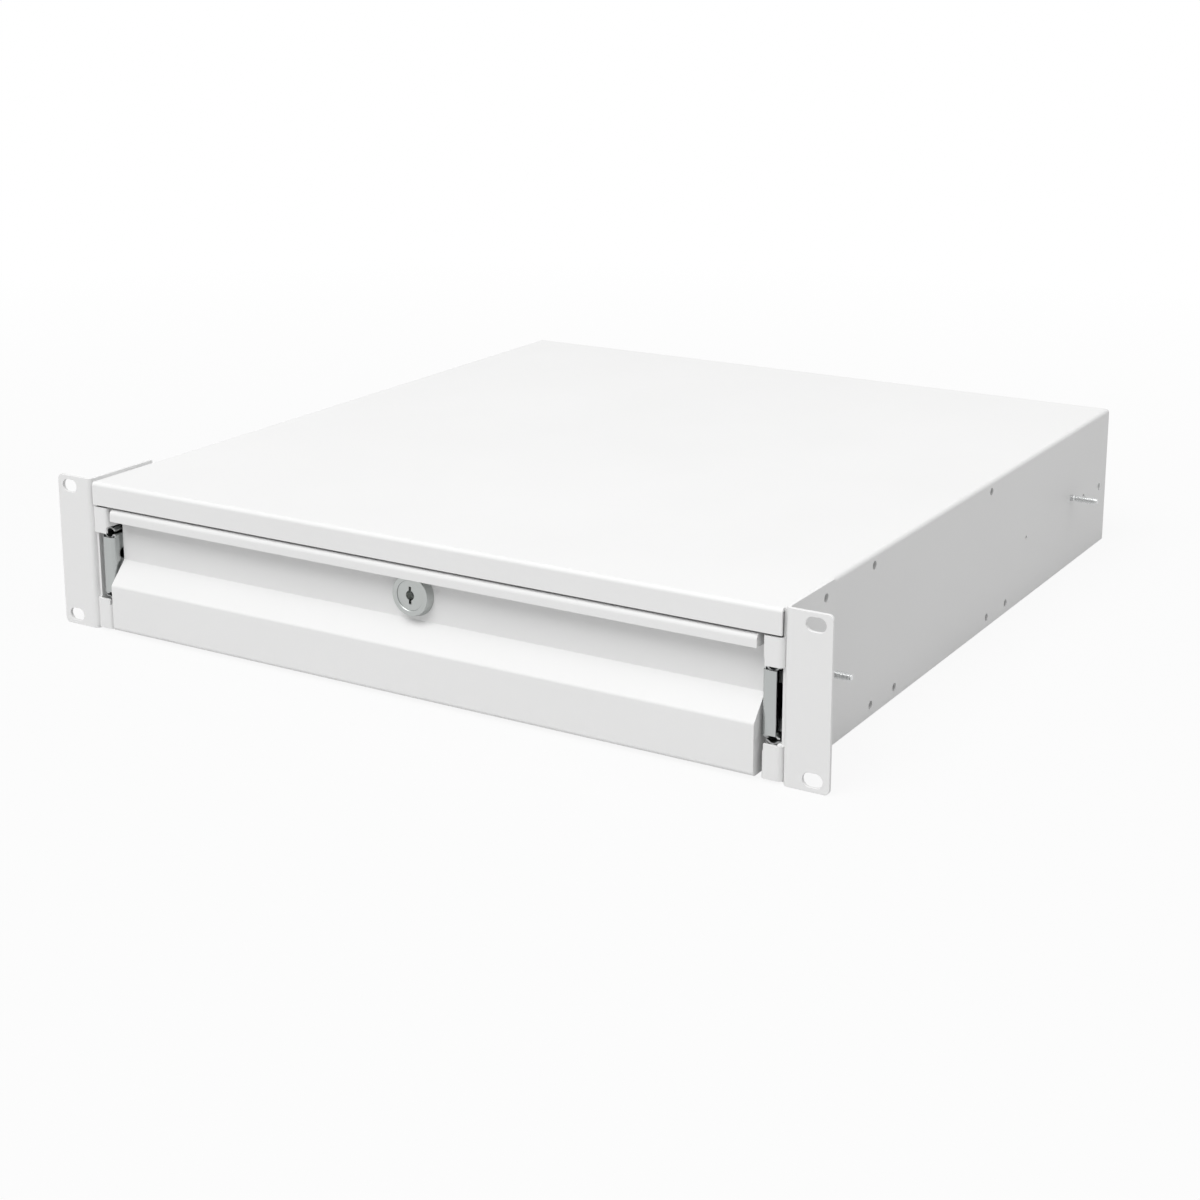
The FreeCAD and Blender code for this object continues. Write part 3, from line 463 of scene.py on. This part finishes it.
slide_zinc = plated_steel(
    "slide_plate", SLIDE_GREY, SLIDE_ROUGHNESS, (1, 0.04, 1), SLIDE_GRAIN_HEIGHT
)


def sheared_steel():
    """A sheared end: matt grey steel with fine vertical tear lines."""
    material, tree, shader = new_material("sheared_steel")
    tear = object_noise(tree, 2600, 2.0, (1, 1, 0.15))
    tint = between(tree, tear, SHEARED_DARK, SHEARED_LIGHT)
    tree.links.new(tint, shader.inputs["Base Color"])
    shader.inputs["Metallic"].default_value = 0.35
    shader.inputs["Roughness"].default_value = 0.6
    add_bump(tree, shader, [(tear, TEAR_HEIGHT)])
    return material


cut_steel = sheared_steel()


def slide_member(node, name, body):
    """A rolled member from its CAD piece, with its sheared front end left bare."""
    piece = merged_copy(node, name)
    round_edges(piece, MEMBER_ROUND)
    finish(piece, body, slide_zinc)
    piece.data.materials.append(cut_steel)
    for face in piece.data.polygons:
        if face.normal.y < FACING_FRONT and FIRST_CUT_Y < face.center.y < LAST_CUT_Y:
            face.material_index = 1


for side in ("right", "left"):
    slide_member("slide_outer_" + side, "slide_channel_" + side, "housing")
    slide_member("slide_inner_" + side, "slide_runner_" + side, "drawer")

# Bearing balls: hardened and polished steel, eleven to a row and two rows to a slide.
# They run between the two members' races, spaced by the cage.
BALL_GREY = (0.62, 0.63, 0.64)
BALLS_PER_ROW = 11

ball_steel = plated_steel("ball_steel", BALL_GREY, 0.12, EVEN_GRAIN, 0.0003 * MM)


def row_spacing(side):
    """Ball radius, first ball's centre, and the pitches along a row and between the rows."""
    low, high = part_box("balls_" + side)
    radius = (high.x - low.x) / 2
    first = (low.x + radius, low.y + radius, low.z + radius)
    along = (high.y - low.y - 2 * radius) / (BALLS_PER_ROW - 1)
    return radius, first, along, high.z - low.z - 2 * radius


def repeated(piece, count, step):
    """That many of the piece in a row, each one step from the last."""
    array = piece.modifiers.new("row", "ARRAY")
    array.count = count
    array.use_relative_offset = False
    array.use_constant_offset = True
    array.constant_offset_displace = step


for side in ("right", "left"):
    radius, first, along, apart = row_spacing(side)
    deselect_all()
    bpy.ops.mesh.primitive_uv_sphere_add(segments=20, ring_count=12, radius=radius, location=first)
    balls = bpy.context.object
    balls.name = "bearing_balls_" + side
    settle(balls)
    repeated(balls, BALLS_PER_ROW, (0, along, 0))
    repeated(balls, 2, (0, 0, apart))
    apply_modifiers(balls)
    bpy.ops.object.shade_smooth()
    finish(balls, "cage_" + side, ball_steel)
    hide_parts("balls_" + side)

# Ball cages: thin channels pressed from the same plated strip, a window punched for every ball.
# They float between the members and roll half as far as the drawer.
CAGE_WINDOW_PLAY = 0.1 * MM
CAGE_PUNCH_LENGTH = 60 * MM
CAGE_ROUND = 0.05 * MM

for side in ("right", "left"):
    radius, first, along, apart = row_spacing(side)
    cage = merged_copy("ball_cage_" + side, "slide_cage_" + side)
    second_window = (first[0], first[1] + along, first[2] + apart / 2)
    punch = rod(radius + CAGE_WINDOW_PLAY, CAGE_PUNCH_LENGTH, second_window, sides=24)
    repeated(punch, BALLS_PER_ROW - 2, (0, along, 0))
    apply_modifiers(punch)
    cut_away(cage, punch)
    round_edges(cage, CAGE_ROUND, 1)
    finish(cage, "cage_" + side, slide_zinc)

# Slide buffers: small blocks moulded in black plastic, one at the closed end of each slide.
# They are pressed into the outer member, and the runners stop against them.
PLASTIC_DARK = (0.03, 0.03, 0.033)
PLASTIC_LIGHT = (0.05, 0.05, 0.055)
PLASTIC_GRAIN_HEIGHT = 0.01 * MM
BUFFER_ROUND = 0.3 * MM


def black_plastic():
    """Moulded plastic: near-black, faintly mottled, with a fine eroded texture."""
    material, tree, shader = new_material("black_plastic")
    mottle = object_noise(tree, 60, 3.0)
    tint = between(tree, mottle, PLASTIC_DARK, PLASTIC_LIGHT)
    tree.links.new(tint, shader.inputs["Base Color"])
    grain = object_noise(tree, 1600, 2.0)
    tree.links.new(between(tree, grain, 0.5, 0.65), shader.inputs["Roughness"])
    add_bump(tree, shader, [(grain, PLASTIC_GRAIN_HEIGHT)])
    return material


plastic = black_plastic()
for side in ("right", "left"):
    buffer = merged_copy("slide_buffer_" + side, "plastic_stop_" + side)
    round_edges(buffer, BUFFER_ROUND)
    finish(buffer, "housing", plastic)

# Drawer front: one folded and coated steel sheet with a recessed panel, a slope and a grip strip.
# Small end plates are welded in to close its lower box and the strip.
coated_sheet("drawer_front", "front_panel", "drawer")

# Drawer tray: the open pan behind the front, a coated steel sheet with hemmed sides.
# Its front wall lies against the drawer front, and its sides carry the runners.
coated_sheet("drawer_tray", "tray_pan", "drawer")

# Tray screws: zinc-plated pan-head screws with a cross recess, driven from inside the tray.
# Three on each side hold the tray to its runner.
SCREW_HEAD_RADIUS = 3.7 * MM
SCREW_HEAD_HEIGHT = 2.3 * MM
HEAD_WALL_SHARE = 0.35
DOME_STEPS = 6
DOME_SWEEP = math.radians(80)
RECESS_WIDTH = 0.9 * MM
RECESS_SPAN = 4.2 * MM
RECESS_DEPTH = 1.4 * MM
HEAD_ROUND = 0.08 * MM
TRAY_SHEET = 1.5 * MM
SCREW_YS = (0.062, 0.231, 0.4)


def block(size, place, turn=0.0):
    """A plain block to cut with or to shape further, turned about Z."""
    deselect_all()
    bpy.ops.mesh.primitive_cube_add(size=1, location=place, rotation=(0, 0, turn))
    piece = bpy.context.object
    piece.scale = size
    settle(piece)
    return piece


def pan_screw():
    """The head of one screw, standing on Z with its recess up."""
    crown_share = 1 - HEAD_WALL_SHARE
    profile = [(SCREW_HEAD_RADIUS, 0)]
    for step in range(DOME_STEPS + 1):
        angle = DOME_SWEEP * step / DOME_STEPS
        edge = SCREW_HEAD_RADIUS * (HEAD_WALL_SHARE + crown_share * math.cos(angle))
        rise = SCREW_HEAD_HEIGHT * (HEAD_WALL_SHARE + crown_share * math.sin(angle))
        profile.append((edge, rise))
    head = turned("screw_head", profile, 48)
    for turn in (0, QUARTER_TURN):
        size = (RECESS_SPAN, RECESS_WIDTH, 2 * RECESS_DEPTH)
        cut_away(head, block(size, (0, 0, SCREW_HEAD_HEIGHT), turn))
    round_edges(head, HEAD_ROUND)
    return head


runner_low, runner_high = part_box("slide_inner_right")
slide_axis_z = middle(runner_low.z, runner_high.z)
tray_face_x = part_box("drawer_tray")[1].x - TRAY_SHEET
screw = pan_screw()
for side, name in ((1, "right"), (-1, "left")):
    inward = (0, -side * QUARTER_TURN, 0)
    heads = []
    for y in SCREW_YS:
        heads.append(placed_copy(screw, "head", (side * tray_face_x, y, slide_axis_z), inward))
    tray_screws = joined("tray_screws_" + name, heads)
    finish(tray_screws, "drawer", bright_zinc)
bpy.data.objects.remove(screw)

# Lock body: a nickel-plated die casting with a tapered ring in front of the panel.
# Its threaded barrel with two flats goes through the panel and the tray, held by a nut.
NICKEL_GREY = (0.53, 0.55, 0.54)
RING_FACE_INNER = 8.35 * MM
RING_FACE_OUTER = 10.7 * MM
RING_SHOULDER = 11.0 * MM
RING_BASE = 12.1 * MM
RING_HEIGHT = 4.9 * MM
RING_ROUND = 0.12 * MM
BORE_RADIUS = 8.05 * MM
BORE_CHAMFER = 0.3 * MM
BARREL_CREST = 9.4 * MM
BARREL_ROOT = 8.95 * MM
BARREL_PITCH = 1.0 * MM
BARREL_THREAD_DEPTH = 0.8 * MM
BARREL_FLAT = 8.8 * MM
BARE_TURNS = 3
SHAVE_DEPTH = 10 * MM
FLAT_START = 1.0 * MM
THREAD_SETIN = 0.02 * MM
BACKWARD = (-QUARTER_TURN, 0, 0)

nickel = plated_steel("satin_nickel", NICKEL_GREY, 0.34, EVEN_GRAIN, 0.0012 * MM)

lock_low, lock_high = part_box("lock_housing")
lock_z = middle(lock_low.z, lock_high.z)
barrel_length = lock_high.y - lock_low.y - RING_HEIGHT


def shave_flats(piece, flat):
    """Takes both sides off down to that distance from the axis, behind the ring."""
    for side in (1, -1):
        shave_x = side * (flat + SHAVE_DEPTH / 2)
        shave_z = RING_HEIGHT + FLAT_START + barrel_length / 2
        size = (SHAVE_DEPTH, 4 * BARREL_CREST, barrel_length)
        cut_away(piece, block(size, (shave_x, 0, shave_z)))


def lock_casting():
    """The ring and barrel turned in one profile from the ring's face backwards, then the thread."""
    back = RING_HEIGHT + barrel_length
    profile = [
        (RING_FACE_INNER, 0),
        (RING_FACE_OUTER, 0),
        (RING_SHOULDER, RING_SHOULDER - RING_FACE_OUTER),
        (RING_BASE, RING_HEIGHT),
        (BARREL_ROOT, RING_HEIGHT),
        (BARREL_ROOT, back),
        (BORE_RADIUS, back),
        (BORE_RADIUS, BORE_CHAMFER),
    ]
    casting = turned("lock_casting", profile, 96, hollow=True)
    round_edges(casting, RING_ROUND)
    shave_flats(casting, BARREL_FLAT)
    bpy.ops.object.shade_smooth_by_angle(angle=SMOOTH_ANGLE)
    start = RING_HEIGHT + 2 * BARREL_PITCH
    turns = int(barrel_length / BARREL_PITCH) - BARE_TURNS
    thread = thread_ridge(
        "barrel_thread", BARREL_CREST, BARREL_THREAD_DEPTH, BARREL_PITCH, start, turns, steps=72
    )
    shave_flats(thread, BARREL_FLAT - THREAD_SETIN)
    return joined("lock_casting", [casting, thread])


casting = lock_casting()
lock_body = placed_copy(casting, "lock_body", (0, lock_low.y, lock_z), BACKWARD)
bpy.data.objects.remove(casting)
finish(lock_body, "drawer", nickel)
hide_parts("lock_housing")

# Lock nut: a zinc-plated hexagon nut with broken corners.
# It runs on the barrel's thread and is tightened against the tray's front wall.
NUT_ROUND = 0.35 * MM

nut = merged_copy("lock_nut", "barrel_nut")
round_edges(nut, NUT_ROUND, 3)
finish(nut, "drawer", zinc)

# Lock plug: the turning nickel-plated cylinder, with a keyhole that opens into a deep keyway.
# Thin nickel-silver wafers lie across the keyway behind the face.
KEYWAY_WIDTH = 1.6 * MM
KEYWAY_HEIGHT = 9.5 * MM
KEYWAY_DEPTH = 12 * MM
KEYWAY_LEAD = 1.0 * MM
KEYWAY_SETIN = 0.04 * MM
KEYHOLE_FLOOR = 4 * MM
WELL_RADIUS = 2.5 * MM
WELL_DEPTH = 2.7 * MM
WELL_OVERLAP = 0.2 * MM
PLUG_ROUND = 0.14 * MM
NICKEL_SILVER = (0.62, 0.61, 0.57)
WAFER_COUNT = 5
WAFER_SHEET = 0.5 * MM
WAFER_PITCH = 1.4 * MM
WAFER_RISE = 0.25 * MM
WAFER_PLAY = 0.1 * MM
WAFER_SHARE = 0.72
WAFER_ROUND = 0.06 * MM
FIRST_WAFER_DEPTH = 5.5 * MM
FIRST_WAFER_DROP = 0.8 * MM

plug = merged_copy("lock_plug", "keyed_plug")
plug_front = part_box("lock_plug")[0].y
keyway_size = (KEYWAY_WIDTH - KEYWAY_SETIN, KEYWAY_DEPTH, KEYWAY_HEIGHT - KEYWAY_SETIN)
cut_away(plug, block(keyway_size, (0, plug_front + KEYWAY_DEPTH / 2 - KEYWAY_LEAD, lock_z)))
well_y = plug_front + KEYHOLE_FLOOR - WELL_OVERLAP + WELL_DEPTH / 2
cut_away(plug, rod(WELL_RADIUS, WELL_DEPTH, (0, well_y, lock_z), (QUARTER_TURN, 0, 0), 48))
round_edges(plug, PLUG_ROUND)
finish(plug, "lock_cylinder", nickel)

nickel_silver = plated_steel("nickel_silver", NICKEL_SILVER, 0.35, EVEN_GRAIN, 0.001 * MM)
wafer_size = (KEYWAY_WIDTH - WAFER_PLAY, WAFER_SHEET, WAFER_SHARE * KEYWAY_HEIGHT)
wafers = block(wafer_size, (0, plug_front + FIRST_WAFER_DEPTH, lock_z - FIRST_WAFER_DROP))
wafers.name = "lock_wafers"
repeated(wafers, WAFER_COUNT, (0, WAFER_PITCH, WAFER_RISE))
apply_modifiers(wafers)
round_edges(wafers, WAFER_ROUND)
finish(wafers, "lock_cylinder", nickel_silver)

# Lock cam and its screw: a stamped zinc-plated lever on the plug's square.
# A slotted screw in the plug's end holds it there.
CAM_ROUND = 0.3 * MM
CAM_SCREW_ROUND = 0.15 * MM

for node, name, width in (
    ("lock_cam", "cam_lever", CAM_ROUND),
    ("cam_screw", "slotted_screw", CAM_SCREW_ROUND),
):
    piece = merged_copy(node, name)
    round_edges(piece, width)
    finish(piece, "lock_cylinder", zinc)

# Studio: a pale paper floor just under the lowest edge, and a white surround.
# A soft key lamp stands far off to the front left, and a weaker one hangs above.
FLOOR_Z = cad_box[0][2] - 0.1 * MM
FLOOR_SIZE = 60
PAPER_GREY = (0.62, 0.62, 0.62, 1)
WHITE = (1, 1, 1, 1)
NEAR_WHITENESS = 0.9
NEAR_DISTANCE = 0.5
FAR_DISTANCE = 1.4
SKY_STRENGTH = 0.48

deselect_all()
bpy.ops.mesh.primitive_plane_add(size=FLOOR_SIZE, location=(0, 0, FLOOR_Z))
floor = bpy.context.object
floor.name = "studio_floor"


def seen_or_mirrored(tree):
    """1 to the camera and in reflections, 0 as a light on the object."""
    path = tree.nodes.new("ShaderNodeLightPath")
    seen = tree.nodes.new("ShaderNodeMath")
    seen.operation = "MAXIMUM"
    tree.links.new(path.outputs["Is Camera Ray"], seen.inputs[0])
    tree.links.new(path.outputs["Is Glossy Ray"], seen.inputs[1])
    return seen.outputs[0]


def floor_material():
    """Matt white paper that looks whiter to the camera and in reflections, most of all far away."""
    material = bpy.data.materials.new("studio_paper")
    tree, output = bare_tree(material, "ShaderNodeOutputMaterial")
    paper = tree.nodes.new("ShaderNodeBsdfDiffuse")
    paper.inputs["Color"].default_value = PAPER_GREY
    glow = tree.nodes.new("ShaderNodeEmission")
    glow.inputs["Color"].default_value = WHITE
    glow.inputs["Strength"].default_value = 1.0
    place = tree.nodes.new("ShaderNodeTexCoord")
    distance = tree.nodes.new("ShaderNodeVectorMath")
    distance.operation = "LENGTH"
    tree.links.new(place.outputs["Object"], distance.inputs[0])
    away = distance.outputs["Value"]
    whiteness = between(tree, away, NEAR_WHITENESS, 1.0, NEAR_DISTANCE, FAR_DISTANCE)
    share = tree.nodes.new("ShaderNodeMath")
    share.operation = "MULTIPLY"
    tree.links.new(seen_or_mirrored(tree), share.inputs[0])
    tree.links.new(whiteness, share.inputs[1])
    mix = tree.nodes.new("ShaderNodeMixShader")
    tree.links.new(share.outputs[0], mix.inputs[0])
    tree.links.new(paper.outputs[0], mix.inputs[1])
    tree.links.new(glow.outputs[0], mix.inputs[2])
    tree.links.new(mix.outputs[0], output.inputs[0])
    return material


floor.data.materials.append(floor_material())


def world_light(strength):
    """White to the camera and to reflections, dimmer as a light on the object."""
    world = bpy.data.worlds.new("studio_sky")
    bpy.context.scene.world = world
    tree, output = bare_tree(world, "ShaderNodeOutputWorld")
    background = tree.nodes.new("ShaderNodeBackground")
    background.inputs["Color"].default_value = WHITE
    level = between(tree, seen_or_mirrored(tree), strength, 1.0, 0.0, 1.0)
    tree.links.new(level, background.inputs["Strength"])
    tree.links.new(background.outputs[0], output.inputs[0])


world_light(SKY_STRENGTH)


def area_lamp(name, place, aim, size, power):
    """A round soft lamp at its place, turned towards the aim."""
    lamp = bpy.data.lights.new(name, "AREA")
    lamp.shape = "DISK"
    lamp.size = size
    lamp.energy = power
    holder = bpy.data.objects.new(name, lamp)
    holder.location = place
    holder.rotation_euler = (Vector(aim) - Vector(place)).to_track_quat("-Z", "Y").to_euler()
    bpy.context.collection.objects.link(holder)


area_lamp("key_lamp", place=(-0.75, -3.27, 5.05), aim=(0, 0.1, 0), size=4.7, power=266)
area_lamp("top_lamp", place=(0.8, 0.2, 1.9), aim=(0, 0.2, 0), size=1.8, power=9)

# Camera: a short telephoto lens at the front right, looking a little down on the drawer.
# Its small shift sets the drawer in the frame and keeps the upright edges nearly parallel.
CAMERA_TILT = math.radians(90 - 13.61)
CAMERA_SWING = math.radians(31.06)

camera_data = bpy.data.cameras.new("studio_camera")
camera_data.lens = 64.4
camera_data.sensor_width = 36
camera_data.shift_x = -0.0029
camera_data.shift_y = -0.15
camera_data.clip_start = 0.05
camera = bpy.data.objects.new("studio_camera", camera_data)
camera.location = (0.6291, -0.8463, 0.3594)
camera.rotation_euler = (CAMERA_TILT, 0, CAMERA_SWING)
bpy.context.collection.objects.link(camera)
bpy.context.scene.camera = camera
bpy.context.scene.view_settings.view_transform = "Standard"
